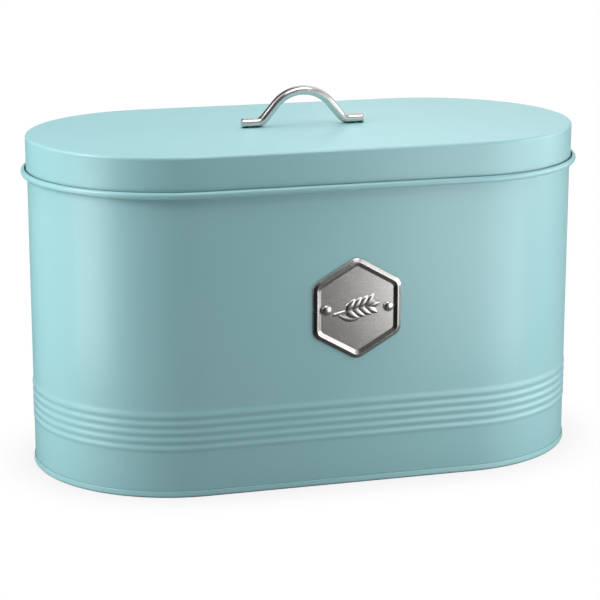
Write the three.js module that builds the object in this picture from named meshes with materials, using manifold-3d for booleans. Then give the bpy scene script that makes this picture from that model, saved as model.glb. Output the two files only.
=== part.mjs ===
// An oval bread bin of painted sheet steel, with a lift-off lid.
// Millimetres, +Z up. X runs along the bin, the front faces -Y, and the origin is the middle of the foot.
// Every pressed piece is one bent sheet: the line of its section, given a thickness, is carried round its plan.

import * as THREE from 'three';
import { mergeVertices } from 'three/addons/utils/BufferGeometryUtils.js';
import Module from 'manifold-3d';

const wasm = await Module();
wasm.setup();

// Plan of the bin, to the outer face of its wall: a straight middle with a half round at each end.
const wallHalfLength = 180;
const wallHalfDepth = 92;

// Sheet steel and clearances
const sheet = 0.5;
const seatGap = 0.3;
const cutOverrun = 1;
const sameSpot = 0.01;

// Height of the bin, and of the lid from its lower edge to its top
const rimTop = 193.8;
const lidHeight = 23.15;

// Rolled rim: the wall steps out into a gutter, turns up, and is hemmed over and back to the wall.
const gutterDepth = 1.95;
const gutterInnerReach = 1.6;
const rimReach = 4;
const rimHeight = 4.1;
const rimShoulderRadius = 0.6;
const rimLipRadius = 0.3;
const rimRollRadius = 1.6;
const rimTuckGap = 0.35;

// Pressed ridges round the lower part of the wall: they touch, and the top one fades out over a longer slope.
const ridgeCount = 5;
const ridgePitch = 5.25;
const ridgeTopHeight = 52.5;
const ridgeTopSlope = 3.9;
const ridgeRise = 0.6;

// Foot: the base panel is folded round the lower edge of the wall.
const seamHeight = 4.1;
const seamClearance = 0.4;
const seamFoldRadius = 0.6;
const baseRecess = 4.6;
const baseBendRadius = 1.2;
const baseStepInset = 14;
const baseStepRise = 1.6;
const baseStepRun = 2.4;
const baseStepRadius = 1;

// Upright lock seam where the two ends of the wall meet, on the middle of the back
const backSeamWidth = 6;
const backSeamRise = 0.6;
const backSeamBite = 0.2;
const backSeamEndGap = 0.5;

// Lid
const skirtReach = 0.7;
const lidEdgeRadius = 1.75;
const hemHeight = 4;
const hemRadius = 0.3;
const lidFlatInset = 6;

// Handle of round wire
const wireRadius = 3;
const handleRise = 19.5;
const handleLegAngle = 50;
const handleBendRadius = 7;
const handleArchRadius = 24;
const handleFootLength = 10;

// Screws that hold the handle from inside the lid, and their washers
const screwRadius = 1.5;
const screwHeadRadius = 2.9;
const screwHeadHeight = 1.9;
const screwReach = 3.6;
const screwTipGap = 0.4;
const screwSlotLength = 3.6;
const screwSlotWidth = 0.8;
const screwSlotDepth = 0.9;
const washerRadius = 4.5;
const washerThickness = 0.8;

// Badge: a six-sided pressed plate with a raised border, pointed at top and bottom
const badgeCentreX = 8.5;
const badgeCentreZ = 114.3;
const badgeHalfFlat = 28.9;
const badgeCornerRadius = 7.5;
const badgeSheet = 0.5;
const badgeBorderRise = 1.5;
const badgeOuterSlope = 2.3;
const badgeInnerSlope = 2.5;
const badgeCrestRadius = 0.6;
const badgeFieldRadius = 0.5;
const badgeFieldInset = 8;

// Rivets of the badge
const rivetSpread = 20.2;
const rivetHeadRadius = 3.3;
const rivetHeadHeight = 1.7;
const rivetShankRadius = 1.4;
const rivetTailRadius = 2.4;
const rivetTailHeight = 0.9;

// Counts of facets, and turns
const roundEndSteps = 16;
const bendSteps = 3;
const ridgeSteps = 4;
const wireSides = 10;
const wireSteps = 44;
const lathedSides = 16;
const domeSteps = 4;
const hexCorners = 6;
const hexCornerSteps = 4;
const rightAngle = Math.PI / 2;
const halfTurn = Math.PI;
const fullTurn = 2 * Math.PI;

// Sizes that follow from the ones above
const halfSheet = sheet / 2;
const straightHalf = wallHalfLength - wallHalfDepth;
const wallLine = -halfSheet;
const gutterLevel = rimTop - gutterDepth - halfSheet;
const lidFoot = gutterLevel + halfSheet + seatGap;
const lidTop = lidFoot + lidHeight;
const seamInnerLine = -sheet - seamClearance - halfSheet;
const seamOuterLine = seamClearance + halfSheet;
const wallFoot = sheet + seamClearance;
const baseLevel = baseRecess + halfSheet;
const badgeHalfSheet = badgeSheet / 2;
const handleFootLevel = lidTop + seatGap + wireRadius;
const handleHalfSpan = halfSpanOfHandle();
const screwX = handleHalfSpan + handleFootLength / 2;

const paint = { color: 0xa8dadd, roughness: 0.45, metalness: 0 };
const satinSteel = { color: 0xb4b2b0, roughness: 0.38, metalness: 1 };
const brightSteel = { color: 0xc9c6c3, roughness: 0.22, metalness: 1 };
const zincSteel = { color: 0xa9abad, roughness: 0.42, metalness: 1 };

// Plan outlines: each gives the points of one ring, counter-clockwise from above, moved outwards by an offset.

function ovalRing(offset) {
  const radius = wallHalfDepth + offset;
  const points = [];
  for (const side of [0, 1]) {
    for (let step = 0; step <= roundEndSteps; step += 1) {
      const angle = -rightAngle + halfTurn * (side + step / roundEndSteps);
      const centre = side === 0 ? straightHalf : -straightHalf;
      points.push(new THREE.Vector2(centre + radius * Math.cos(angle), radius * Math.sin(angle)));
    }
  }
  return points;
}

function hexagonRing(offset) {
  const radius = Math.max(badgeCornerRadius + offset, badgeFieldRadius);
  const cornerReach = (badgeHalfFlat + offset - radius) / Math.cos(halfTurn / hexCorners);
  const points = [];
  for (let corner = 0; corner < hexCorners; corner += 1) {
    const middle = rightAngle + (fullTurn * corner) / hexCorners;
    for (let step = 0; step <= hexCornerSteps; step += 1) {
      const angle = middle + (fullTurn / hexCorners) * (step / hexCornerSteps - 1 / 2);
      const x = cornerReach * Math.cos(middle) + radius * Math.cos(angle);
      const y = cornerReach * Math.sin(middle) + radius * Math.sin(angle);
      points.push(new THREE.Vector2(x, y));
    }
  }
  return points;
}

// A section line from its corners [offset, level, bend radius]: each corner becomes an arc.
// Where two bends meet with nothing straight between them, their shared point is kept once.
function bentLine(corners) {
  const line = [];
  corners.forEach(([offset, level, radius], index) => {
    const corner = new THREE.Vector2(offset, level);
    if (!radius) {
      line.push(corner);
      return;
    }
    const before = new THREE.Vector2(...corners[index - 1]).sub(corner).normalize();
    const after = new THREE.Vector2(...corners[index + 1]).sub(corner).normalize();
    const halfOpening = Math.acos(before.dot(after)) / 2;
    const middle = before.clone().add(after).normalize();
    const centre = corner.clone().addScaledVector(middle, radius / Math.sin(halfOpening));
    const start = corner.clone().addScaledVector(before, radius / Math.tan(halfOpening)).sub(centre);
    const turn = (halfTurn - 2 * halfOpening) * Math.sign(after.cross(before));
    for (let step = 0; step <= bendSteps; step += 1) {
      const spoke = start.clone().rotateAround(new THREE.Vector2(), (turn * step) / bendSteps);
      line.push(centre.clone().add(spoke));
    }
  });
  return line.filter((point, index) => index === 0 || point.distanceTo(line[index - 1]) > sameSpot);
}

// The outline of a bent sheet: its line, set half the thickness to the right, then back on the left.
function sheetOutline(line, thickness) {
  const right = [];
  const left = [];
  line.forEach((point, index) => {
    const previous = line[Math.max(index - 1, 0)];
    const next = line[Math.min(index + 1, line.length - 1)];
    const arriving = point.clone().sub(previous).normalize();
    const leaving = next.clone().sub(point).normalize();
    const along = arriving.clone().add(leaving).normalize();
    const mitre = along.dot(index === 0 ? leaving : arriving);
    const across = new THREE.Vector2(along.y, -along.x).multiplyScalar(thickness / 2 / mitre);
    right.push(point.clone().add(across));
    left.unshift(point.clone().sub(across));
  });
  return [...right, ...left];
}

// Carries an outline round a plan. A capped outline is closed by a flat face at its first and last ring.
function carryRound(plan, outline, capped) {
  const positions = [];
  const faces = [];
  outline.forEach((point) => {
    plan(point.x).forEach((spot) => positions.push(spot.x, spot.y, point.y));
  });
  const count = plan(0).length;
  const rings = outline.length;
  for (let ring = 0; ring < (capped ? rings - 1 : rings); ring += 1) {
    const lower = ring * count;
    const upper = ((ring + 1) % rings) * count;
    for (let here = 0; here < count; here += 1) {
      const next = (here + 1) % count;
      faces.push(lower + here, lower + next, upper + next);
      faces.push(lower + here, upper + next, upper + here);
    }
  }
  if (capped) {
    const last = (rings - 1) * count;
    const fan = THREE.ShapeUtils.triangulateShape(plan(0), []);
    fan.forEach(([a, b, c]) => {
      faces.push(c, b, a);
      faces.push(last + a, last + b, last + c);
    });
  }
  const geometry = new THREE.BufferGeometry();
  geometry.setAttribute('position', new THREE.Float32BufferAttribute(positions, 3));
  geometry.setIndex(faces);
  return geometry;
}

// Booleans
function toManifold(geometry) {
  const bare = geometry.clone();
  bare.deleteAttribute('normal');
  bare.deleteAttribute('uv');
  const merged = mergeVertices(bare);
  const vertProperties = new Float32Array(merged.attributes.position.array);
  const triVerts = new Uint32Array(merged.index.array);
  return new wasm.Manifold(new wasm.Mesh({ numProp: 3, vertProperties, triVerts }));
}

function fromManifold(solid) {
  const mesh = solid.getMesh();
  const geometry = new THREE.BufferGeometry();
  geometry.setAttribute('position', new THREE.BufferAttribute(mesh.vertProperties, 3));
  geometry.setIndex(new THREE.BufferAttribute(mesh.triVerts, 1));
  return geometry;
}

function cut(geometry, tools) {
  return fromManifold(tools.reduce((left, tool) => left.subtract(toManifold(tool)), toManifold(geometry)));
}

function join(geometry, other) {
  return fromManifold(toManifold(geometry).add(toManifold(other)));
}

// A round pin along Z, standing on the level given
function pinBlank(radius, length, x, level) {
  const blank = new THREE.CylinderGeometry(radius, radius, length, lathedSides);
  blank.rotateX(rightAngle);
  blank.translate(x, 0, level + length / 2);
  return blank;
}

// A turned piece: a profile of [radius, height] that starts and ends on the axis, turned about Z
function turned(profile) {
  const points = profile.map(([radius, height]) => new THREE.Vector2(radius, height));
  const geometry = new THREE.LatheGeometry(points, lathedSides);
  geometry.rotateX(rightAngle);
  return geometry;
}

// Stands a piece that was made facing +Z on the front of the bin, at a height and a place along it.
function faceFront(geometry, x, level) {
  geometry.rotateX(rightAngle);
  geometry.translate(x, -wallHalfDepth, level);
  return geometry;
}

// Wall

// One wave for all the ridges, from the foot of the lowest to the end of the top one's slope
function ridgeLine() {
  const points = [];
  const crests = ridgeCount - 1 / 2;
  for (let step = 0; step <= ridgeCount * ridgeSteps; step += 1) {
    const waves = step / ridgeSteps;
    const swell = (1 - Math.cos(fullTurn * waves)) / 2;
    const below = ridgePitch * (Math.min(waves, crests) - crests);
    const above = 2 * ridgeTopSlope * Math.max(waves - crests, 0);
    points.push(new THREE.Vector2(wallLine + ridgeRise * swell, ridgeTopHeight + below + above));
  }
  return points;
}

function wallLinePoints() {
  const lip = gutterInnerReach + halfSheet;
  const outer = rimReach - halfSheet;
  const crest = rimTop - halfSheet;
  const tuck = rimTop - rimHeight + halfSheet;
  const shoulder = [wallLine, gutterLevel, rimShoulderRadius];
  const rim = bentLine([
    [wallLine, tuck],
    shoulder,
    [lip, gutterLevel, rimShoulderRadius],
    [lip, crest, rimLipRadius],
    [outer, crest, rimRollRadius],
    [outer, tuck, rimRollRadius],
    [rimTuckGap, tuck],
  ]);
  return [new THREE.Vector2(wallLine, wallFoot), ...ridgeLine(), ...rim];
}

function backSeam() {
  const foot = seamHeight + backSeamEndGap;
  const top = rimTop - rimHeight - backSeamEndGap;
  const strip = new THREE.BoxGeometry(backSeamWidth, backSeamRise + backSeamBite, top - foot);
  strip.translate(0, wallHalfDepth + (backSeamRise - backSeamBite) / 2, (foot + top) / 2);
  return strip;
}

function rivetHole(x) {
  const length = sheet + 2 * cutOverrun;
  return faceFront(pinBlank(rivetShankRadius + seatGap, length, 0, -sheet - cutOverrun), x, badgeCentreZ);
}

function bodyWall() {
  const shell = carryRound(ovalRing, sheetOutline(wallLinePoints(), sheet), false);
  const holes = [-rivetSpread, rivetSpread].map((spread) => rivetHole(badgeCentreX + spread));
  return cut(join(shell, backSeam()), holes);
}

// Base

function basePan() {
  const raised = baseLevel + baseStepRise;
  const stepOuter = seamInnerLine - baseStepInset;
  const stepInner = stepOuter - baseStepRun;
  const line = bentLine([
    [stepInner - baseStepInset, raised],
    [stepInner, raised, baseStepRadius],
    [stepOuter, baseLevel, baseStepRadius],
    [seamInnerLine, baseLevel, baseBendRadius],
    [seamInnerLine, halfSheet, seamFoldRadius],
    [seamOuterLine, halfSheet, seamFoldRadius],
    [seamOuterLine, seamHeight],
  ]);
  return carryRound(ovalRing, sheetOutline(line, sheet), true);
}

// Lid

function lidShell() {
  const skirt = skirtReach - halfSheet;
  const top = lidTop - halfSheet;
  const hem = lidFoot + halfSheet;
  const fold = skirt - 2 * hemRadius;
  const line = bentLine([
    [skirt - lidFlatInset, top],
    [skirt, top, lidEdgeRadius],
    [skirt, hem, hemRadius],
    [fold, hem, hemRadius],
    [fold, lidFoot + hemHeight],
  ]);
  const shell = carryRound(ovalRing, sheetOutline(line, sheet), true);
  const depth = sheet + 2 * cutOverrun;
  const level = lidTop - sheet - cutOverrun;
  const holes = [-screwX, screwX].map((x) => pinBlank(screwRadius + seatGap, depth, x, level));
  return cut(shell, holes);
}

// Handle

// Half the distance between the two bends, from the rise, the radii and the slope of the legs
function halfSpanOfHandle() {
  const slope = THREE.MathUtils.degToRad(handleLegAngle);
  const bends = handleBendRadius + handleArchRadius;
  const leg = (handleRise - bends * (1 - Math.cos(slope))) / Math.sin(slope);
  return bends * Math.sin(slope) + leg * Math.cos(slope);
}

class HandleLine extends THREE.Curve {
  getPoint(share) {
    const slope = THREE.MathUtils.degToRad(handleLegAngle);
    const bend = handleBendRadius * slope;
    const bends = handleBendRadius + handleArchRadius;
    const leg = (handleRise - bends * (1 - Math.cos(slope))) / Math.sin(slope);
    const arch = handleArchRadius * slope;
    const half = handleFootLength + bend + leg + arch;
    const travel = 2 * half * share;
    const side = travel < half ? -1 : 1;
    let run = half - Math.abs(half - travel);
    let x = handleHalfSpan + handleFootLength - Math.min(run, handleFootLength);
    let z = handleFootLevel;
    run = Math.max(run - handleFootLength, 0);
    const bent = Math.min(run / handleBendRadius, slope);
    x -= handleBendRadius * Math.sin(bent);
    z += handleBendRadius * (1 - Math.cos(bent));
    run = Math.max(run - bend, 0);
    x -= Math.min(run, leg) * Math.cos(slope);
    z += Math.min(run, leg) * Math.sin(slope);
    run = Math.max(run - leg, 0);
    const left = slope - run / handleArchRadius;
    x -= handleArchRadius * (Math.sin(slope) - Math.sin(left));
    z += handleArchRadius * (Math.cos(left) - Math.cos(slope));
    return new THREE.Vector3(side * x, 0, z);
  }
}

function handle() {
  const corner = wireRadius / Math.cos(halfTurn / wireSides);
  const section = new THREE.Shape();
  for (let side = 0; side < wireSides; side += 1) {
    const angle = (fullTurn * (side + 1 / 2)) / wireSides;
    const x = corner * Math.cos(angle);
    const y = corner * Math.sin(angle);
    if (side === 0) section.moveTo(x, y);
    else section.lineTo(x, y);
  }
  const wire = new THREE.ExtrudeGeometry(section, { steps: wireSteps, extrudePath: new HandleLine() });
  const level = handleFootLevel - wireRadius - cutOverrun;
  const depth = cutOverrun + screwReach + screwTipGap;
  const holes = [-screwX, screwX].map((x) => pinBlank(screwRadius + seatGap, depth, x, level));
  return cut(wire, holes);
}

// Fastenings of the handle, from below: head, washer, lid, foot of the handle

function washer(x) {
  const outer = washerRadius;
  const inner = screwRadius + seatGap;
  const top = lidTop - sheet - seatGap;
  const low = top - washerThickness;
  const ring = new THREE.LatheGeometry(
    [[inner, low], [outer, low], [outer, top], [inner, top], [inner, low]].map(
      ([radius, height]) => new THREE.Vector2(radius, height),
    ),
    lathedSides,
  );
  ring.rotateX(rightAngle);
  ring.translate(x, 0, 0);
  return ring;
}

function screw(x) {
  const seat = lidTop - sheet - 2 * seatGap - washerThickness;
  const tip = handleFootLevel - wireRadius + screwReach;
  const low = seat - screwHeadHeight;
  const profile = [[0, low]];
  for (let step = 0; step <= domeSteps; step += 1) {
    const angle = (rightAngle * step) / domeSteps;
    const roundness = screwHeadHeight / 2;
    const radius = screwHeadRadius - roundness * (1 - Math.sin(angle));
    profile.push([radius, low + roundness * (1 - Math.cos(angle))]);
  }
  profile.push([screwHeadRadius, seat], [screwRadius, seat], [screwRadius, tip], [0, tip]);
  const blank = turned(profile);
  const slots = [0, rightAngle].map((turn) => {
    const slot = new THREE.BoxGeometry(screwSlotLength, screwSlotWidth, 2 * screwSlotDepth);
    slot.rotateZ(turn);
    slot.translate(0, 0, low);
    return slot;
  });
  const geometry = cut(blank, slots);
  geometry.translate(x, 0, 0);
  return geometry;
}

// Badge

function badgePlate() {
  const field = seatGap + badgeHalfSheet;
  const crest = field + badgeBorderRise;
  const edge = -badgeHalfSheet;
  const crestLine = edge - badgeOuterSlope;
  const fieldLine = crestLine - badgeInnerSlope;
  const line = bentLine([
    [fieldLine - badgeFieldInset, field],
    [fieldLine, field, badgeFieldRadius],
    [crestLine, crest, badgeCrestRadius],
    [edge, field],
  ]);
  const plate = carryRound(hexagonRing, sheetOutline(line, badgeSheet), true);
  const depth = badgeSheet + 2 * cutOverrun;
  const level = seatGap - cutOverrun;
  const holes = [-rivetSpread, rivetSpread].map((spread) =>
    pinBlank(rivetShankRadius + seatGap, depth, spread, level),
  );
  return faceFront(cut(plate, holes), badgeCentreX, badgeCentreZ);
}

function rivet(spread) {
  const seat = 2 * seatGap + badgeSheet;
  const tail = -sheet - seatGap;
  const profile = [
    [0, tail - rivetTailHeight],
    [rivetTailRadius, tail - rivetTailHeight],
    [rivetTailRadius, tail],
    [rivetShankRadius, tail],
    [rivetShankRadius, seat],
  ];
  for (let step = 0; step <= domeSteps; step += 1) {
    const angle = (rightAngle * step) / domeSteps;
    profile.push([rivetHeadRadius * Math.cos(angle), seat + rivetHeadHeight * Math.sin(angle)]);
  }
  profile[profile.length - 1][0] = 0;
  return faceFront(turned(profile), badgeCentreX + spread, badgeCentreZ);
}

function named(name, geometry, look) {
  const plain = geometry.clone();
  plain.deleteAttribute('uv');
  plain.deleteAttribute('normal');
  const merged = mergeVertices(plain);
  merged.computeVertexNormals();
  const mesh = new THREE.Mesh(merged, new THREE.MeshStandardMaterial(look));
  mesh.name = name;
  return mesh;
}

const bin = new THREE.Group();
bin.add(named('body_wall', bodyWall(), paint));
bin.add(named('base_pan', basePan(), paint));
bin.add(named('badge_plate', badgePlate(), satinSteel));
bin.add(named('badge_rivet_left', rivet(-rivetSpread), brightSteel));
bin.add(named('badge_rivet_right', rivet(rivetSpread), brightSteel));

const lid = new THREE.Group();
lid.add(named('lid_shell', lidShell(), paint));
lid.add(named('handle', handle(), brightSteel));
lid.add(named('handle_screw_left', screw(-screwX), zincSteel));
lid.add(named('handle_screw_right', screw(screwX), zincSteel));
lid.add(named('handle_washer_left', washer(-screwX), zincSteel));
lid.add(named('handle_washer_right', washer(screwX), zincSteel));

const breadBox = new THREE.Group();
breadBox.add(bin, lid);

export default breadBox;
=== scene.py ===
import math

import bmesh
import bpy
import numpy as np
from mathutils import Matrix, Vector


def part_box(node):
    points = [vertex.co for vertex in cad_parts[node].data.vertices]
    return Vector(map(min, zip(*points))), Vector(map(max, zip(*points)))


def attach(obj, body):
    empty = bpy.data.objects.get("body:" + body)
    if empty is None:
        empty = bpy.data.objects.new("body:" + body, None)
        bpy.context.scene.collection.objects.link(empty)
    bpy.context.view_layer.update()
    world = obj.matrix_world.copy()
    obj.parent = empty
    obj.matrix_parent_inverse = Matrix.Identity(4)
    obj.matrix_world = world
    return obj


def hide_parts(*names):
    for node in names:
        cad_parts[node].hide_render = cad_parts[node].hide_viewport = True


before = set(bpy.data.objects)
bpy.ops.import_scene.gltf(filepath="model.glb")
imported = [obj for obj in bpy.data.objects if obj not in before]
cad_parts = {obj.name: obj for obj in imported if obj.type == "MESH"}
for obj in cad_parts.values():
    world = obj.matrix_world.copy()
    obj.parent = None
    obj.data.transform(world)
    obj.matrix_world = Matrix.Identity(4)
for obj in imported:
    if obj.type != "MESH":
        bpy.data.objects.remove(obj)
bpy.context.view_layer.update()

mm = 0.001

# The wall is one sheet of thin steel, rolled into an oval and lapped in an upright seam on the middle of the back.
# Five ridges are pressed round its lower part. Its top steps out into a gutter, turns up and is rolled over.
# It is painted inside and out.
wall_low, wall_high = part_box("body_wall")
sheet = 0.5 * mm
rim_reach = 4 * mm
half_length = wall_high.x - rim_reach
half_depth = wall_high.y - rim_reach
straight_half = half_length - half_depth
wall_foot = wall_low.z
rim_top = 193.8 * mm
rim_height = 4.1 * mm
gutter_depth = 1.95 * mm
gutter_reach = 1.6 * mm
shoulder_radius = 0.6 * mm
lip_radius = 0.3 * mm
roll_radius = 1.6 * mm
tuck_gap = 0.35 * mm
ridge_count = 5
ridge_pitch = 5.25 * mm
ridge_top = 52.5 * mm
ridge_rise = 0.52 * mm
ridge_top_slope = 3.9 * mm
base_seam_height = 4.1 * mm
seam_half_width = 3 * mm
seam_rise = 0.6 * mm
seam_edge = 0.5 * mm
round_end_steps = 56
straight_steps = 20
bend_steps = 9
edge_steps = 4
ridge_steps = 14
seam_steps = 32
seam_reach = 1.6 * seam_half_width
back_middle = 2.5
run_step = 9 * mm
near_bend = 0.35 * mm
just_under = 0.999
weld_distance = 0.001 * mm


def oval(offset, around):
    """The plan of the box moved outwards by offset: a straight front and back joined by half rounds.
    around runs 0 to 4, one unit each for the front, the right end, the back and the left end, where a point is
    the end's centre plus the radius times the cosine and sine of its turn."""
    radius = half_depth + offset
    leg = np.floor(around) % 4
    share = around - np.floor(around)
    run = straight_half * (2 * share - 1)
    turn = math.pi * (share - 0.5)
    x = np.select(
        [leg == 0, leg == 1, leg == 2],
        [run + 0 * radius, straight_half + radius * np.cos(turn), -run + 0 * radius],
        -straight_half - radius * np.cos(turn),
    )
    y = np.select(
        [leg == 0, leg == 1, leg == 2],
        [-radius, radius * np.sin(turn), radius],
        -radius * np.sin(turn),
    )
    return x, y


def oval_stations():
    """Places round the oval: even steps on each straight, and finer even steps on each half round."""
    straight = np.arange(straight_steps) / straight_steps
    end = np.arange(round_end_steps) / round_end_steps
    return np.concatenate([straight, 1 + end, 2 + straight, 3 + end])


def bent_line(corners):
    """A section line through corners (offset, height, bend radius). Each corner becomes an arc that touches both
    runs: its centre lies on the bisector, at radius over the sine of half the opening. Every run gets even steps,
    and one point close to each bend that keeps the flat beside it flat."""
    points = [np.array(corner[:2], float) for corner in corners]
    arcs = []
    for index, (point, corner) in enumerate(zip(points, corners)):
        if len(corner) < 3:
            arcs.append(point[None])
            continue
        before = points[index - 1] - point
        after = points[index + 1] - point
        before /= np.linalg.norm(before)
        after /= np.linalg.norm(after)
        half_opening = math.acos(np.clip(before @ after, -1, 1)) / 2
        middle = (before + after) / np.linalg.norm(before + after)
        centre = point + middle * corner[2] / math.sin(half_opening)
        start = point + before * corner[2] / math.tan(half_opening) - centre
        turn = (math.pi - 2 * half_opening) * np.sign(after[0] * before[1] - after[1] * before[0])
        angle = np.linspace(0, turn, bend_steps + 1)
        cosine, sine = np.cos(angle), np.sin(angle)
        arcs.append(centre + np.stack([start[0] * cosine - start[1] * sine,
                                       start[0] * sine + start[1] * cosine], 1))
    line = [arcs[0]]
    for arc in arcs[1:]:
        first, last = line[-1][-1], arc[0]
        length = np.linalg.norm(last - first)
        if length > 3 * near_bend:
            count = max(int(length / run_step), 1)
            share = np.linspace(near_bend / length, 1 - near_bend / length, count + 1)
            line.append(first + share[:, None] * (last - first))
            line.append(arc)
        elif length > near_bend / 10:
            line.append(arc)
        else:
            line.append(arc[1:])
    return np.concatenate(line)


def sheet_outline(line, thickness, round_start=True):
    """The outline of a bent sheet, counter-clockwise: the line moved half the thickness to its right, a half round
    edge at its end, then back on its left, with each point moved along the mitre of its two runs."""
    step = np.diff(line, axis=0)
    step /= np.linalg.norm(step, axis=1)[:, None]
    arriving = np.concatenate([step[:1], step])
    leaving = np.concatenate([step, step[-1:]])
    along = arriving + leaving
    along /= np.linalg.norm(along, axis=1)[:, None]
    mitre = np.sum(along * leaving, axis=1)
    across = np.stack([along[:, 1], -along[:, 0]], 1) * (thickness / 2 / mitre)[:, None]
    angle = np.linspace(0, math.pi, edge_steps + 2)[1:-1, None]
    end = line[-1] + across[-1] * np.cos(angle) + step[-1] * thickness / 2 * np.sin(angle)
    start = line[0] - across[0] * np.cos(angle) - step[0] * thickness / 2 * np.sin(angle)
    parts = [line + across, end, (line - across)[::-1]]
    if round_start:
        parts.append(start)
    return np.concatenate(parts)


def skin(name, x, y, z, closed_rows=False):
    """Skins a grid of points with quads. Every row is a closed ring, the rows follow each other, and the last is
    joined to the first where closed_rows is true. Points that meet are welded, so a ring may shrink to a line."""
    rows, count = x.shape
    here = np.arange(rows * count).reshape(rows, count)
    upper = np.roll(here, -1, axis=0)
    if not closed_rows:
        here, upper = here[:-1], upper[:-1]
    quads = np.stack([here, np.roll(here, -1, 1), np.roll(upper, -1, 1), upper], 2).reshape(-1, 4)
    points = np.stack([x, y, z], 2).reshape(-1, 3)
    mesh = bpy.data.meshes.new(name)
    mesh.from_pydata(points, [], quads.tolist())
    work = bmesh.new()
    work.from_mesh(mesh)
    bmesh.ops.remove_doubles(work, verts=work.verts, dist=weld_distance)
    bmesh.ops.dissolve_degenerate(work, edges=work.edges, dist=weld_distance / 10)
    work.to_mesh(mesh)
    work.free()
    mesh.polygons.foreach_set("use_smooth", np.ones(len(mesh.polygons), bool))
    piece = bpy.data.objects.new(name, mesh)
    bpy.context.scene.collection.objects.link(piece)
    return piece


def linear(hex_colour):
    """An sRGB hex colour as linear red, green and blue, and 1: the 2.4 power curve with its straight foot."""
    value = np.array([int(hex_colour[k:k + 2], 16) for k in (1, 3, 5)]) / 255
    value = np.where(value <= 0.04045, value / 12.92, ((value + 0.055) / 1.055) ** 2.4)
    return (*value.tolist(), 1.0)


def add(tree, kind, settings, inputs):
    """Adds a node. settings are its own properties, and each input is a value or another node's output."""
    node = tree.nodes.new(kind)
    for key, value in settings.items():
        setattr(node, key, value)
    for key, value in inputs.items():
        if isinstance(value, bpy.types.NodeSocket):
            tree.links.new(value, node.inputs[key])
        else:
            node.inputs[key].default_value = value
    return node


def new_material(name):
    """An empty node material with its output, for a finish to be built in."""
    material = bpy.data.materials.new(name)
    material.use_nodes = True
    material.node_tree.nodes.clear()
    return material, material.node_tree, add(material.node_tree, "ShaderNodeOutputMaterial", {}, {})


def stoved_paint():
    """Aqua stoving enamel on sheet steel: an even pale blue-green with a soft broad sheen. Baking leaves a faint
    orange peel of dimples about 2 mm across, and the coat drifts a little in depth over a hand's breadth. Deep in
    the seams and the gutter, where little of the sky is seen, painted shade pulls the colour towards deep teal and
    takes away its sheen."""
    material, tree, output = new_material("stoved_aqua_paint")
    place = add(tree, "ShaderNodeTexCoord", {}, {}).outputs["Object"]
    drift = add(tree, "ShaderNodeTexNoise", {}, {"Vector": place, "Scale": 1 / (70 * mm), "Detail": 2.0})
    tone = add(tree, "ShaderNodeMix", {"data_type": "RGBA"},
               {0: drift.outputs["Fac"], 6: linear("#90c0c4"), 7: linear("#96c4c8")})
    # Painted shade: where the ambient occlusion sees little sky, in the seams and the gutter, the colour is pulled
    # towards deep teal.
    sky_seen = add(tree, "ShaderNodeAmbientOcclusion", {"samples": 8}, {"Distance": 2 * mm})
    depth = {"Value": sky_seen.outputs["AO"], "From Min": 0.35, "From Max": 0.65}
    painted_crevice_shade = add(tree, "ShaderNodeMapRange", {}, {**depth, "To Min": 0.95, "To Max": 0.0})
    crevice_shaded_tone = add(tree, "ShaderNodeMix", {"data_type": "RGBA"},
               {0: painted_crevice_shade.outputs[0], 6: tone.outputs[2], 7: linear("#10363a")})
    # Painted shade as well: the sheen is lowered in the same places.
    sheen = add(tree, "ShaderNodeMapRange", {}, {**depth, "To Min": 0.1, "To Max": 0.7})
    dust = add(tree, "ShaderNodeTexNoise", {}, {"Vector": place, "Scale": 1 / (5 * mm), "Detail": 3.0})
    gloss = add(tree, "ShaderNodeMapRange", {},
                {"Value": dust.outputs["Fac"], "To Min": 0.30, "To Max": 0.36})
    peel = add(tree, "ShaderNodeTexNoise", {}, {"Vector": place, "Scale": 1 / (2 * mm), "Detail": 1.0})
    dimples = add(tree, "ShaderNodeBump", {},
                  {"Height": peel.outputs["Fac"], "Strength": 0.06, "Distance": 0.05 * mm})
    paint = add(tree, "ShaderNodeBsdfPrincipled", {},
                {"Base Color": crevice_shaded_tone.outputs[2], "Roughness": gloss.outputs[0], "Normal": dimples.outputs[0],
                 "IOR": 1.5, "Specular IOR Level": sheen.outputs[0]})
    tree.links.new(paint.outputs[0], output.inputs[0])
    return material


def wall_line():
    """The middle line of the wall sheet from foot to rim: a plain run, a wave of one cosine hump for each ridge
    with a slower fall above the top one, then the bends of the gutter and the rolled rim. Where two bends meet,
    one is just under its radius, so that a hair of straight run parts them."""
    line = -sheet / 2
    gutter = rim_top - gutter_depth - sheet / 2
    tuck = rim_top - rim_height + sheet / 2
    crest = rim_top - sheet / 2
    lip = gutter_reach + sheet / 2
    outer = rim_reach - sheet / 2
    wave_foot = ridge_top - (ridge_count - 0.5) * ridge_pitch
    turns = np.linspace(0, ridge_count, ridge_count * ridge_steps + 1)
    past_top = np.maximum(turns - (ridge_count - 0.5), 0)
    height = wave_foot + ridge_pitch * (turns - past_top) + 2 * ridge_top_slope * past_top
    swell = line + ridge_rise * (1 - np.cos(2 * math.pi * turns)) / 2
    plain = bent_line([(line, wall_foot), (line, wave_foot)])[:-1]
    rim = bent_line([
        (line, height[-1]),
        (line, gutter, shoulder_radius),
        (lip, gutter, shoulder_radius),
        (lip, crest, lip_radius),
        (outer, crest, roll_radius * just_under),
        (outer, tuck, roll_radius),
        (tuck_gap, tuck),
    ])[1:]
    return np.concatenate([plain, np.stack([swell, height], 1), rim])


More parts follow.
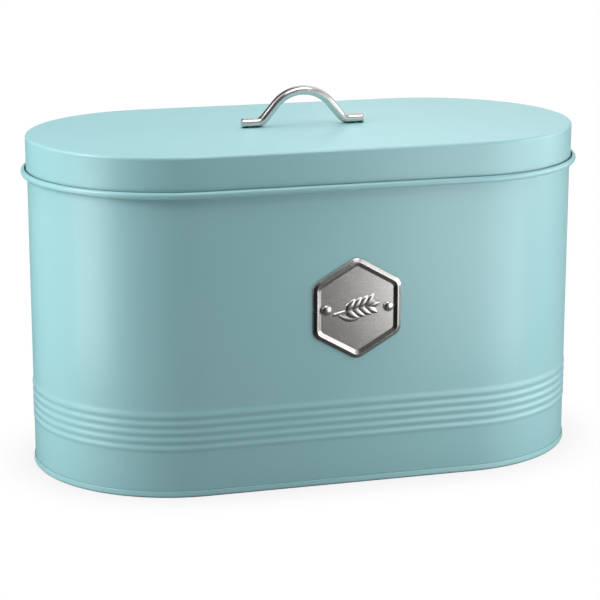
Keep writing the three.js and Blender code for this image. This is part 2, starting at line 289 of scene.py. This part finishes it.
def make_wall():
    """Carries the wall's outline round the oval. The lapped seam swells the outer face near the middle of the
    back, which is 2.5 on the oval's measure, by its rise times a smooth step, in from each side of the strip and
    in from its two ends."""
    outline = sheet_outline(wall_line(), sheet)
    back = back_middle + np.linspace(-seam_reach, seam_reach, seam_steps + 1) / (2 * straight_half)
    around = oval_stations()
    clear = np.abs(around - back_middle) > seam_reach / straight_half
    around = np.sort(np.concatenate([around[clear], back]))
    x, y = oval(outline[:, :1], around[None, :])
    z = np.repeat(outline[:, 1:], len(around), axis=1)
    side = np.clip((seam_half_width - np.abs(x)) / seam_edge, 0, 1)
    low = np.clip((z - base_seam_height) / seam_edge, 0, 1)
    high = np.clip((rim_top - rim_height - z) / seam_edge, 0, 1)
    outer = (outline[:, :1] > -sheet / 2) & (outline[:, :1] < ridge_rise + sheet / 4)
    rise = seam_rise * np.where(outer & (y > 0), 1, 0)
    for share in (side, low, high):
        rise = rise * share * share * (3 - 2 * share)
    wall = skin("wall", x, y + rise, z, closed_rows=True)
    wall.data.materials.append(paint)
    return wall


paint = stoved_paint()
wall = make_wall()
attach(wall, "bin")
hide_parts("body_wall")

# The base is a pressed panel of the same sheet, set up inside the foot and stiffened by one step.
# Its edge is folded round the lower edge of the wall and rolled tight: that fold is the band that the box stands on.
# It carries the same paint.
fold_reach = 0.9 * mm
fold_inset = 1.4 * mm
fold_radius = 0.6 * mm
fold_nose = 0.9 * mm
shoulder_drop = 2.2 * mm
shoulder_bend = 2 * mm
fold_end = 0.28 * mm
base_recess = 4.6 * mm
base_bend = 1.2 * mm
base_step_inset = 14 * mm
base_step_rise = 1.6 * mm
base_step_run = 2.4 * mm
base_step_bend = 1 * mm
flat_rings = 14


def closed_in(outline, middle, rings):
    """Carries an outline on, from its two ends, to the middle of the plan, in rings whose inset grows evenly, so
    that the flat face closes on itself there."""
    share = np.linspace(0, 1, rings + 1)[:-1]
    first = np.stack([middle + share * (outline[0, 0] - middle), np.full(rings, outline[0, 1])], 1)
    last = np.stack([middle + share * (outline[-1, 0] - middle), np.full(rings, outline[-1, 1])], 1)
    return np.concatenate([first, outline, last[::-1]])


def carried_round(name, outline):
    """Carries an outline of (offset, height) points round the oval, and closes its flat to the oval's middle."""
    outline = closed_in(outline, -half_depth, flat_rings)
    around = oval_stations()
    x, y = oval(outline[:, :1], around[None, :])
    z = np.repeat(outline[:, 1:], len(around), axis=1)
    return skin(name, x, y, z)


def make_base():
    """The panel's line: flat middle, step, flat border, down inside the wall, under it, up outside, and in to it."""
    inner = -fold_inset + sheet / 2
    outer = fold_reach - sheet / 2
    level = base_recess + sheet / 2
    raised = level + base_step_rise
    step_outer = inner - base_step_inset
    step_inner = step_outer - base_step_run
    line = bent_line([
        (step_inner - base_step_inset, raised),
        (step_inner, raised, base_step_bend),
        (step_outer, level, base_step_bend),
        (inner, level, base_bend),
        (inner, sheet / 2, fold_radius),
        (outer, sheet / 2, fold_nose),
        (outer, base_seam_height - shoulder_drop - sheet / 2, shoulder_bend),
        (fold_end, base_seam_height - sheet / 2),
    ])
    base = carried_round("base", sheet_outline(line, sheet, round_start=False))
    base.data.materials.append(paint)
    return base


base = make_base()
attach(base, "bin")
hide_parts("base_pan")

# The badge is a small six-sided plate pressed from stainless steel, with a raised border round a satin field.
# The border is bright from the press tool and the field keeps its fine grain, though here both carry the same satin
# steel. An ear of wheat is struck up from the field between the two rivets.
badge_low, badge_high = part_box("badge_plate")
badge_x = (badge_low.x + badge_high.x) / 2
badge_z = (badge_low.z + badge_high.z) / 2
badge_half_flat = (badge_high.x - badge_low.x) / 2
badge_back = -badge_high.y - half_depth
badge_sheet = 0.5 * mm
badge_corner_radius = 7.5 * mm
badge_border_rise = 1.5 * mm
badge_outer_slope = 2.3 * mm
badge_inner_slope = 2.5 * mm
badge_crest_radius = 0.6 * mm
badge_field_radius = 0.5 * mm
badge_least_corner = 1.6 * mm
hex_corners = 6
hex_turn = 2 * math.pi / hex_corners
hex_corner_steps = 10
hex_side_steps = 14
field_rings = 26
ear_tilt = math.radians(12)
ear_half_length = 15.8 * mm
ear_half_width = 10 * mm
ear_margin = 1 * mm
ear_first_grain = -4 * mm
ear_grain_pairs = 4
grain_pitch = 4.2 * mm
grain_length = 10.4 * mm
grain_width = 4.8 * mm
grain_lean = math.radians(40)
leaf_seat = (-5.5 * mm, -5.6 * mm)
leaf_length = 19 * mm
leaf_width = 3.4 * mm
leaf_lean = math.radians(-14)
leaf_bend = 2.2
stem_width = 1.8 * mm
stem_end = 10 * mm
drop_fullness = 0.25
least_reach = 1e-9
grain_spread = 3 * mm
ear_rise = 1.2 * mm
stem_share = 0.6
leaf_share = 0.7
ear_sink = 0.06 * mm
ear_least = 0.02 * mm
ear_step = 0.15 * mm
ear_softening = 3


def hexagon(offset, around):
    """A regular hexagon with a point at the top and round corners, moved outwards by offset. around runs 0 to 6,
    one unit a corner: its first half turns round the corner, and its second runs along the side to the next."""
    radius = np.maximum(badge_corner_radius + offset, badge_least_corner * (1 + offset / badge_half_flat))
    reach = (badge_half_flat + offset - radius) / math.cos(hex_turn / 2)
    corner = np.floor(around)
    share = around - corner
    middle = math.pi / 2 + corner * hex_turn
    turn = middle + hex_turn * (np.minimum(share * 2, 1) - 0.5)
    x = reach * np.cos(middle) + radius * np.cos(turn)
    y = reach * np.sin(middle) + radius * np.sin(turn)
    onward = np.maximum(share * 2 - 1, 0)
    next_middle = middle + hex_turn
    x = x + onward * reach * (np.cos(next_middle) - np.cos(middle))
    y = y + onward * reach * (np.sin(next_middle) - np.sin(middle))
    return x, y


def on_front(piece, x):
    """Turns a piece's mesh, made flat and facing +Z, so that it faces the front, and sets it on the wall at the
    badge's height."""
    piece.data.transform(Matrix(((1, 0, 0, x), (0, 0, -1, -half_depth), (0, 1, 0, badge_z), (0, 0, 0, 1))))
    return piece


def make_badge():
    """Carries the plate's outline, from its field over the border to its edge and back, round the hexagon."""
    field = badge_back + badge_sheet / 2
    crest = field + badge_border_rise
    edge = -badge_sheet / 2
    crest_line = edge - badge_outer_slope
    field_line = crest_line - badge_inner_slope
    line = bent_line([
        (field_line - 4 * badge_field_radius, field),
        (field_line, field, badge_field_radius),
        (crest_line, crest, badge_crest_radius),
        (edge, field),
    ])
    outline = closed_in(sheet_outline(line, badge_sheet, round_start=False), -badge_half_flat, field_rings)
    turn = np.arange(hex_corner_steps) / hex_corner_steps / 2
    side = 0.5 + np.arange(hex_side_steps) / hex_side_steps / 2
    around = (np.arange(hex_corners)[:, None] + np.concatenate([turn, side])[None, :]).ravel()
    x, y = hexagon(outline[:, :1], around[None, :])
    z = np.repeat(outline[:, 1:], len(around), axis=1)
    return on_front(skin("badge", x, y, z), badge_x)


def drop(along, across, seat, lean, length, width, bend=0):
    """The height, up to 1, of a pointed drop. At a share a of its half length its half width is 1 - a squared,
    fuller before its middle, and its height is the root of that times a half ellipse across."""
    forward, aside = along - seat[0], across - seat[1]
    a = (forward * math.cos(lean) + aside * math.sin(lean)) * 2 / length
    b = (aside * math.cos(lean) - forward * math.sin(lean)) * 2 / width - bend * a * a
    reach = np.clip(1 - a * a, 0, 1) + least_reach
    b = b / (reach * (1 - drop_fullness * a))
    return np.sqrt(reach * np.clip(1 - b * b, 0, 1))


def ear_height(along, across):
    """The height of the struck ear over the field: a stem with a rounded back, a long bent leaf, grains that lean
    out from the stem in pairs, and one at the tip. The highest of them all counts at each point."""
    stem = np.clip(1 - (2 * across / stem_width) ** 2, 0, 1) * (along > -ear_half_length) * (along < stem_end)
    leaf = drop(along, across, leaf_seat, leaf_lean, leaf_length, leaf_width, leaf_bend)
    height = [stem_share * np.sqrt(stem), leaf_share * leaf]
    for pair in range(ear_grain_pairs):
        for side in (-1, 1):
            seat = ear_first_grain + pair * grain_pitch, side * grain_spread
            height.append(drop(along, across, seat, side * grain_lean, grain_length, grain_width))
    tip = ear_half_length - grain_length / 2, 0
    height.append(drop(along, across, tip, 0, grain_length, grain_width))
    return ear_rise * np.max(height, axis=0)


def make_ear():
    """A height field over the middle of the badge: the ear's height at each point of a fine grid, softened a
    little, less a hair so that the ground between the grains stays under the field."""
    along = np.arange(-ear_half_length - ear_margin, ear_half_length + ear_margin, ear_step)
    across = np.arange(-ear_half_width, ear_half_width, ear_step)
    along, across = np.meshgrid(along, across)
    height = ear_height(along, across)
    for _ in range(ear_softening):
        padded = np.pad(height, 1)
        height = (padded[:-2, 1:-1] + padded[2:, 1:-1] + padded[1:-1, :-2] + padded[1:-1, 2:] + 2 * height) / 6
    level = badge_back + badge_sheet + height - ear_sink
    x = along * math.cos(ear_tilt) - across * math.sin(ear_tilt)
    y = along * math.sin(ear_tilt) + across * math.cos(ear_tilt)
    rows, count = x.shape
    here = np.arange(rows * count).reshape(rows, count)
    quads = np.stack([here[:-1, :-1], here[:-1, 1:], here[1:, 1:], here[1:, :-1]], 2).reshape(-1, 4)
    shown = height.ravel()[quads].max(1) > ear_least
    points = np.stack([x, y, level], 2).reshape(-1, 3)
    used, renumbered = np.unique(quads[shown], return_inverse=True)
    mesh = bpy.data.meshes.new("badge_wheat_ear")
    mesh.from_pydata(points[used], [], renumbered.reshape(-1, 4).tolist())
    mesh.polygons.foreach_set("use_smooth", np.ones(len(mesh.polygons), bool))
    piece = bpy.data.objects.new("badge_wheat_ear", mesh)
    bpy.context.scene.collection.objects.link(piece)
    return on_front(piece, badge_x)


def satin_steel():
    """Stainless steel sheet with a satin finish: a smooth mid grey that holds a soft, blurred reflection, with faint
    level brush lines. They are drawn about 0.7 mm apart, coarser than the real ones, so that they show."""
    material, tree, output = new_material("satin_stainless_steel")
    place = add(tree, "ShaderNodeTexCoord", {}, {}).outputs["Object"]
    lines = add(tree, "ShaderNodeMapping", {}, {"Vector": place, "Scale": (0.05, 1.0, 1.0)})
    brush = add(tree, "ShaderNodeTexNoise", {},
                {"Vector": lines.outputs[0], "Scale": 1 / (0.7 * mm), "Detail": 1.0})
    cloud = add(tree, "ShaderNodeTexNoise", {}, {"Vector": place, "Scale": 1 / (9 * mm), "Detail": 2.0})
    tone = add(tree, "ShaderNodeMix", {"data_type": "RGBA"},
               {0: brush.outputs["Fac"], 6: linear("#c0bebb"), 7: linear("#d0cecb")})
    blur = add(tree, "ShaderNodeMapRange", {},
               {"Value": cloud.outputs["Fac"], "To Min": 0.24, "To Max": 0.30})
    relief = add(tree, "ShaderNodeBump", {},
                 {"Height": brush.outputs["Fac"], "Strength": 0.03, "Distance": 0.02 * mm})
    steel = add(tree, "ShaderNodeBsdfPrincipled", {},
                {"Base Color": tone.outputs[2], "Metallic": 1.0, "Roughness": blur.outputs[0],
                 "Normal": relief.outputs[0]})
    tree.links.new(steel.outputs[0], output.inputs[0])
    return material


satin = satin_steel()
badge = make_badge()
ear = make_ear()
for piece in (badge, ear):
    piece.data.materials.append(satin)
    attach(piece, "bin")
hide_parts("badge_plate")

# Two domed rivets hold the badge. Each passes through the plate and the wall and is clinched over inside.
# They are bright stainless steel.
rivet_shank_radius = 1.4 * mm
rivet_tail_radius = 2.4 * mm
rivet_seat_gap = 0.05 * mm
rivet_edge = 0.25 * mm
dome_steps = 13
turned_sides = 40


def turned(profile):
    """A profile of (radius, height) points turned about Z: the radius times the cosine and sine of even turns."""
    turn = np.arange(turned_sides) * 2 * math.pi / turned_sides
    return profile[:, :1] * np.cos(turn), profile[:, :1] * np.sin(turn), profile[:, 1:] + 0 * turn


def bright_steel():
    """Drawn and tumbled stainless wire: bright, with a clean reflection softened by very fine lines. The lines are
    drawn about 0.3 mm apart, coarser than the real ones, so that they show in a close view."""
    material, tree, output = new_material("bright_stainless_steel")
    place = add(tree, "ShaderNodeTexCoord", {}, {}).outputs["Object"]
    lines = add(tree, "ShaderNodeMapping", {}, {"Vector": place, "Scale": (0.08, 1.0, 1.0)})
    draw = add(tree, "ShaderNodeTexNoise", {},
               {"Vector": lines.outputs[0], "Scale": 1 / (0.3 * mm), "Detail": 2.0})
    smear = add(tree, "ShaderNodeTexNoise", {}, {"Vector": place, "Scale": 1 / (9 * mm), "Detail": 2.0})
    tone = add(tree, "ShaderNodeMix", {"data_type": "RGBA"},
               {0: draw.outputs["Fac"], 6: linear("#c6c2c0"), 7: linear("#d8d3d1")})
    blur = add(tree, "ShaderNodeMapRange", {},
               {"Value": smear.outputs["Fac"], "To Min": 0.16, "To Max": 0.26})
    relief = add(tree, "ShaderNodeBump", {},
                 {"Height": draw.outputs["Fac"], "Strength": 0.03, "Distance": 0.02 * mm})
    steel = add(tree, "ShaderNodeBsdfPrincipled", {},
                {"Base Color": tone.outputs[2], "Metallic": 0.92, "Roughness": blur.outputs[0],
                 "Normal": relief.outputs[0]})
    tree.links.new(steel.outputs[0], output.inputs[0])
    return material


def make_rivet(node):
    """A rivet from its clinched tail to its dome: a quarter ellipse on a short straight edge."""
    low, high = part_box(node)
    head = (high.x - low.x) / 2
    top = -low.y - half_depth
    seat = badge_back + badge_sheet + rivet_seat_gap
    tail_top = -sheet - rivet_seat_gap
    tail_foot = -high.y - half_depth
    angle = np.linspace(0, math.pi / 2, dome_steps + 1)
    dome = np.stack([head * np.cos(angle), seat + rivet_edge + (top - seat - rivet_edge) * np.sin(angle)], 1)
    dome[-1, 0] = 0
    profile = np.array([
        (0, tail_foot),
        (rivet_tail_radius - rivet_edge, tail_foot),
        (rivet_tail_radius, tail_foot + rivet_edge),
        (rivet_tail_radius, tail_top),
        (rivet_shank_radius, tail_top),
        (rivet_shank_radius, seat),
        (head - rivet_edge / 2, seat),
    ])
    x, y, z = turned(np.concatenate([profile, dome]))
    return on_front(skin(node.replace("badge_", ""), x, y, z), (low.x + high.x) / 2)


bright = bright_steel()
for node in ("badge_rivet_left", "badge_rivet_right"):
    rivet = make_rivet(node)
    rivet.data.materials.append(bright)
    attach(rivet, "bin")
    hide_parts(node)

# The lid is drawn in one piece from the same sheet: a flat top, a small round edge and a straight skirt.
# The lower edge of the skirt is hemmed inwards, and it stands loose in the gutter of the rim.
# It carries the same paint as the wall.
lid_low, lid_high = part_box("lid_shell")
skirt_reach = 0.7 * mm
lid_edge_radius = 1.75 * mm
hem_height = 4 * mm
hem_radius = 0.3 * mm


def make_lid():
    """The lid's line: flat top, round edge, skirt, and the hem turned up inside it."""
    skirt = skirt_reach - sheet / 2
    top = lid_high.z - sheet / 2
    hem = lid_low.z + sheet / 2
    fold = skirt - 2 * hem_radius
    line = bent_line([
        (skirt - 4 * lid_edge_radius, top),
        (skirt, top, lid_edge_radius),
        (skirt, hem, hem_radius * just_under),
        (fold, hem, hem_radius * just_under),
        (fold, lid_low.z + hem_height),
    ])
    lid = carried_round("lid", sheet_outline(line, sheet, round_start=False))
    lid.data.materials.append(paint)
    return lid


lid = make_lid()
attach(lid, "lid")
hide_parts("lid_shell")

# The handle is a length of bright round steel wire, bent into an arch with two flat feet and cut off square.
# Its feet lie on the lid, and each is tapped from below for a screw.
handle_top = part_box("handle")[1].z
wire_radius = 3 * mm
leg_slope = math.radians(50)
handle_bend_radius = 7 * mm
handle_arch_radius = 24 * mm
handle_foot_length = 10 * mm
cut_edge = 0.35 * mm
handle_seat = 0.05 * mm
wire_sides = 40
wire_foot_steps = 7
wire_bend_steps = 14
wire_arch_steps = 28
wire_edge_steps = 5


def handle_line():
    """Half the middle line of the wire, from the end of a foot to the top of the arch, as (x, z, slope): a straight
    foot, an arc up to the slope of the leg, a straight leg, and the arch back to level."""
    foot_level = lid_high.z + handle_seat + wire_radius
    rise = handle_top - wire_radius - foot_level
    bends = handle_bend_radius + handle_arch_radius
    leg = (rise - bends * (1 - math.cos(leg_slope))) / math.sin(leg_slope)
    span = bends * math.sin(leg_slope) + leg * math.cos(leg_slope)
    foot = np.linspace(0, handle_foot_length, wire_foot_steps + 1)
    up = np.linspace(0, leg_slope, wire_bend_steps + 1)[1:]
    down = np.linspace(leg_slope, 0, wire_arch_steps + 1)
    x = [
        span + handle_foot_length - foot,
        span - handle_bend_radius * np.sin(up),
        handle_arch_radius * np.sin(down),
    ]
    z = [
        0 * foot,
        handle_bend_radius * (1 - np.cos(up)),
        rise - handle_arch_radius * (1 - np.cos(down)),
    ]
    return np.concatenate(x), foot_level + np.concatenate(z), np.concatenate([0 * foot, up, down])


def make_handle():
    """Sweeps a circle along the wire: a point is the line's point plus the radius times the cosine of its turn
    along Y and the sine along the line's own upright. Each cut end closes in a flat disc, with a small quarter
    round for its edge: two rings for the disc, the rings of the round and the first full ring."""
    x, z, slope = handle_line()
    x = np.concatenate([-x, x[-2::-1]])
    z = np.concatenate([z, z[-2::-1]])
    slope = np.concatenate([slope, -slope[-2::-1]])
    ease = np.linspace(0, math.pi / 2, wire_edge_steps + 1)
    drawn = wire_radius - cut_edge + cut_edge * np.sin(ease)
    tip = x[0] + cut_edge * (1 - np.cos(ease))
    end_x = np.concatenate([[x[0]] * 2, tip])
    end_radius = np.concatenate([[0, drawn[0] - near_bend / 2], drawn])
    end_rings = len(end_x)
    radius = np.concatenate([end_radius, np.full(len(x) - 2, wire_radius), end_radius[::-1]])
    x = np.concatenate([end_x, x[1:-1], -end_x[::-1]])
    z = np.concatenate([[z[0]] * end_rings, z[1:-1], [z[0]] * end_rings])
    slope = np.concatenate([[0] * end_rings, slope[1:-1], [0] * end_rings])
    turn = np.arange(wire_sides) * 2 * math.pi / wire_sides
    out = radius[:, None] * np.sin(turn)
    return skin(
        "handle_wire",
        x[:, None] - out * np.sin(slope)[:, None],
        radius[:, None] * np.cos(turn),
        z[:, None] + out * np.cos(slope)[:, None],
    )


handle = make_handle()
handle.data.materials.append(bright)
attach(handle, "lid")
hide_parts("handle")

# Two zinc-plated screws come up through the lid into the handle's feet, each with a plain washer under its head.
# They are seen only when the lid is lifted.
screw_recess = 1.1 * mm
screw_seat_gap = 0.05 * mm
screw_round_share = 0.6
recess_half_width = 0.45 * mm
recess_half_length = 1.6 * mm
recess_wall = 0.15 * mm
thread_radius = 1.5 * mm
washer_clearance = 0.2 * mm
washer_ease = 0.12 * mm
screw_face_rings = 29
screw_edge_steps = 8


def zinc_plate():
    """Bright zinc plating on turned steel: a cool grey, a little cloudy, with a soft reflection."""
    material, tree, output = new_material("zinc_plated_steel")
    place = add(tree, "ShaderNodeTexCoord", {}, {}).outputs["Object"]
    cloud = add(tree, "ShaderNodeTexNoise", {}, {"Vector": place, "Scale": 1 / (1.5 * mm), "Detail": 3.0})
    tone = add(tree, "ShaderNodeMix", {"data_type": "RGBA"},
               {0: cloud.outputs["Fac"], 6: linear("#9fa3a8"), 7: linear("#c2c6ca")})
    blur = add(tree, "ShaderNodeMapRange", {},
               {"Value": cloud.outputs["Fac"], "To Min": 0.3, "To Max": 0.45})
    steel = add(tree, "ShaderNodeBsdfPrincipled", {},
                {"Base Color": tone.outputs[2], "Metallic": 1.0, "Roughness": blur.outputs[0]})
    tree.links.new(steel.outputs[0], output.inputs[0])
    return material


def make_screw(node):
    """A pan head, round at its lower edge, with a cross recess: the head's under face is raised by the recess
    depth inside a cross, times a smooth step from its walls."""
    low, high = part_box(node)
    head = (high.x - low.x) / 2
    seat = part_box(node.replace("screw", "washer"))[0].z - screw_seat_gap
    roundness = (seat - low.z) * screw_round_share
    angle = np.linspace(0, math.pi / 2, screw_edge_steps + 1)
    face = np.linspace(0, head - roundness, screw_face_rings + 1)[:-1]
    face = np.stack([face, np.full(screw_face_rings, low.z)], 1)
    edge = np.stack([head - roundness * (1 - np.sin(angle)), low.z + roundness * (1 - np.cos(angle))], 1)
    rest = np.array([(head, seat), (thread_radius, seat), (thread_radius, high.z), (0, high.z)])
    x, y, z = turned(np.concatenate([face, edge, rest]))
    across, along = np.minimum(abs(x), abs(y)), np.maximum(abs(x), abs(y))
    inside = np.minimum(recess_half_width - across, recess_half_length - along) / recess_wall
    z += np.where(z < low.z + recess_wall / 10, screw_recess * np.clip(inside, 0, 1), 0)
    return skin(node, x + (low.x + high.x) / 2, y, z)


def make_washer(node):
    """A flat ring with eased edges, turned from a closed profile."""
    low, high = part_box(node)
    outer = (high.x - low.x) / 2
    inner = thread_radius + washer_clearance
    profile = np.array([
        (inner, low.z),
        (outer - washer_ease, low.z),
        (outer, low.z + washer_ease),
        (outer, high.z - washer_ease),
        (outer - washer_ease, high.z),
        (inner, high.z),
    ])
    x, y, z = turned(profile)
    return skin(node, x + (low.x + high.x) / 2, y, z, closed_rows=True)


zinc = zinc_plate()
for side in ("left", "right"):
    for make, node in ((make_screw, "handle_screw_" + side), (make_washer, "handle_washer_" + side)):
        piece = make(node)
        piece.name = node.replace("handle_", "lid_")
        piece.data.materials.append(zinc)
        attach(piece, "lid")
        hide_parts(node)

# The studio: a plain pale floor and backdrop, soft lamps all round, and the camera at the photograph's angle.
# The camera sees the paper as white. Metal sees it bright on the right and dark on the left.
camera_azimuth = math.radians(-16.09)
camera_elevation = math.radians(14.17)
camera_distance = 1429.5 * mm
camera_aim = (-3.2 * mm, -4.6 * mm, 99.1 * mm)
camera_lens = 129.67
camera_sensor = 36
camera_near = 0.05
camera_far = 50
floor_half = 6.0
floor_fade = (-0.3, 0.45)
floor_glow = 0.23
shadow_reach = 60 * mm
shadow_fade = (0.3, 0.85)
shadow_depth = 0.82
backdrop_fade = (-0.1, 0.4)
backdrop_glow = 0.45
spot_toward = (-0.55, -0.3, 0.78)
spot_fade = (0.92, 0.97)
spot_glow = 0.8
paper_white = (1, 1, 1, 1)
lamp_aim = (0, 0, 110 * mm)

back = Vector((
    math.sin(camera_azimuth) * math.cos(camera_elevation),
    -math.cos(camera_azimuth) * math.cos(camera_elevation),
    math.sin(camera_elevation),
))
lens = bpy.data.cameras.new("camera")
lens.lens = camera_lens
lens.sensor_width = camera_sensor
lens.clip_start = camera_near
lens.clip_end = camera_far
camera = bpy.data.objects.new("camera", lens)
camera.location = Vector(camera_aim) + back * camera_distance
camera.rotation_mode = "QUATERNION"
camera.rotation_quaternion = (-back).to_track_quat("-Z", "Y")
bpy.context.scene.collection.objects.link(camera)
bpy.context.scene.camera = camera


def fades_in(tree, value, fade, glow):
    """A glow that grows smoothly from 0 at fade[0] to its full strength at fade[1]."""
    return add(tree, "ShaderNodeMapRange", {"interpolation_type": "SMOOTHSTEP"},
               {"Value": value, "From Min": fade[0], "From Max": fade[1], "To Max": glow})


def in_mirror(tree, seen):
    """1 for what metal mirrors or glass shows, and 0 for all else."""
    return add(tree, "ShaderNodeMath", {"operation": "MAXIMUM"},
               {0: seen.outputs["Is Glossy Ray"], 1: seen.outputs["Is Transmission Ray"]})


def floor_finish():
    """Plain pale paper. The camera sees it as pure white, darkened only where the object shades it from the sky
    above, which is the soft shadow round its foot. Metal sees it fall off towards the unlit left of the studio."""
    material, tree, output = new_material("pale_paper")
    shade = add(tree, "ShaderNodeAmbientOcclusion", {"samples": 16}, {"Distance": shadow_reach})
    depth = add(tree, "ShaderNodeMapRange", {},
                {"Value": shade.outputs["AO"], "From Min": shadow_fade[0], "From Max": shadow_fade[1],
                 "To Min": shadow_depth, "To Max": 1.0})
    white = add(tree, "ShaderNodeEmission", {}, {"Color": paper_white, "Strength": depth.outputs[0]})
    place = add(tree, "ShaderNodeTexCoord", {}, {}).outputs["Object"]
    across = add(tree, "ShaderNodeSeparateXYZ", {}, {"Vector": place})
    fall = fades_in(tree, across.outputs["X"], floor_fade, floor_glow)
    mirrored = add(tree, "ShaderNodeEmission", {}, {"Color": paper_white, "Strength": fall.outputs[0]})
    matt = add(tree, "ShaderNodeBsdfDiffuse", {}, {"Color": linear("#b6b6b6")})
    seen = add(tree, "ShaderNodeLightPath", {}, {})
    bounced = add(tree, "ShaderNodeMixShader", {},
                  {0: in_mirror(tree, seen).outputs[0], 1: matt.outputs[0], 2: mirrored.outputs[0]})
    either = add(tree, "ShaderNodeMixShader", {},
                 {0: seen.outputs["Is Camera Ray"], 1: bounced.outputs[0], 2: white.outputs[0]})
    tree.links.new(either.outputs[0], output.inputs[0])
    material.cycles.emission_sampling = "NONE"
    return material


floor_mesh = bpy.data.meshes.new("floor")
floor_mesh.from_pydata(
    [(-floor_half, -floor_half, 0), (floor_half, -floor_half, 0),
     (floor_half, floor_half, 0), (-floor_half, floor_half, 0)], [], [(0, 1, 2, 3)])
floor = bpy.data.objects.new("floor", floor_mesh)
floor.data.materials.append(floor_finish())
bpy.context.scene.collection.objects.link(floor)

# Beyond the floor the world is the backdrop. Metal also sees one small soft light there, high on the left.
world = bpy.data.worlds.new("studio")
world.use_nodes = True
world.node_tree.nodes.clear()
sky = world.node_tree
seen = add(sky, "ShaderNodeLightPath", {}, {})
where = add(sky, "ShaderNodeTexCoord", {}, {})
across = add(sky, "ShaderNodeSeparateXYZ", {}, {"Vector": where.outputs["Generated"]})
backdrop = fades_in(sky, across.outputs["X"], backdrop_fade, backdrop_glow)
toward = add(sky, "ShaderNodeVectorMath", {"operation": "DOT_PRODUCT"},
             {0: where.outputs["Generated"], 1: spot_toward})
spot = fades_in(sky, toward.outputs["Value"], spot_fade, spot_glow)
dome = add(sky, "ShaderNodeMath", {"operation": "MAXIMUM"}, {0: backdrop.outputs[0], 1: spot.outputs[0]})
behind = add(sky, "ShaderNodeMath", {"operation": "MULTIPLY"},
             {0: in_mirror(sky, seen).outputs[0], 1: dome.outputs[0]})
white = add(sky, "ShaderNodeMath", {"operation": "MAXIMUM"},
            {0: seen.outputs["Is Camera Ray"], 1: behind.outputs[0]})
paper = add(sky, "ShaderNodeBackground", {}, {"Color": paper_white, "Strength": white.outputs[0]})
add(sky, "ShaderNodeOutputWorld", {}, {0: paper.outputs[0]})
world.cycles.sampling_method = "NONE"
bpy.context.scene.world = world

# Each lamp: its name, its place in metres, its width in metres and its power in watts. The fill lamps light the
# lid and the left end without being mirrored, so the top of the handle keeps its dark edge and the lid doesn't
# burn out.
lamps = (
    ("lamp_above", (-0.15, 0.3, 1.2), 1.2, 6.1),
    ("lamp_behind", (-0.1, 0.5, 0.8), 1.2, 4.7),
    ("lamp_right_behind", (0.3, 0.3, 0.6), 0.7, 0.9),
    ("lamp_over", (0.05, -0.25, 0.6), 0.32, 1.0),
    ("lamp_left", (-0.7, 0, 0.3), 0.3, 1.5),
    ("lamp_left_high", (-0.6, -0.1, 0.5), 0.3, 2.15),
    ("lamp_left_low", (-0.35, -0.1, 0.1), 0.15, 0.15),
    ("lamp_right", (1.2, -0.3, 0.3), 0.8, 5.9),
    ("lamp_right_level", (1.2, 0.1, 0.15), 0.8, 2.1),
    ("lamp_right_high", (0.9, -0.6, 0.6), 0.6, 0.8),
    ("lamp_right_low", (0.25, -0.3, 0.1), 0.3, 0.62),
)
fill_lamps = ("lamp_above", "lamp_behind", "lamp_left")
for name, place, width, power in lamps:
    light = bpy.data.lights.new(name, "AREA")
    light.shape = "SQUARE"
    light.size = width
    light.energy = power
    lamp = bpy.data.objects.new(name, light)
    lamp.location = place
    lamp.rotation_mode = "QUATERNION"
    lamp.rotation_quaternion = (Vector(place) - Vector(lamp_aim)).to_track_quat("Z", "Y")
    lamp.visible_camera = False
    lamp.visible_glossy = name not in fill_lamps
    bpy.context.scene.collection.objects.link(lamp)

bpy.context.scene.view_settings.view_transform = "Standard"
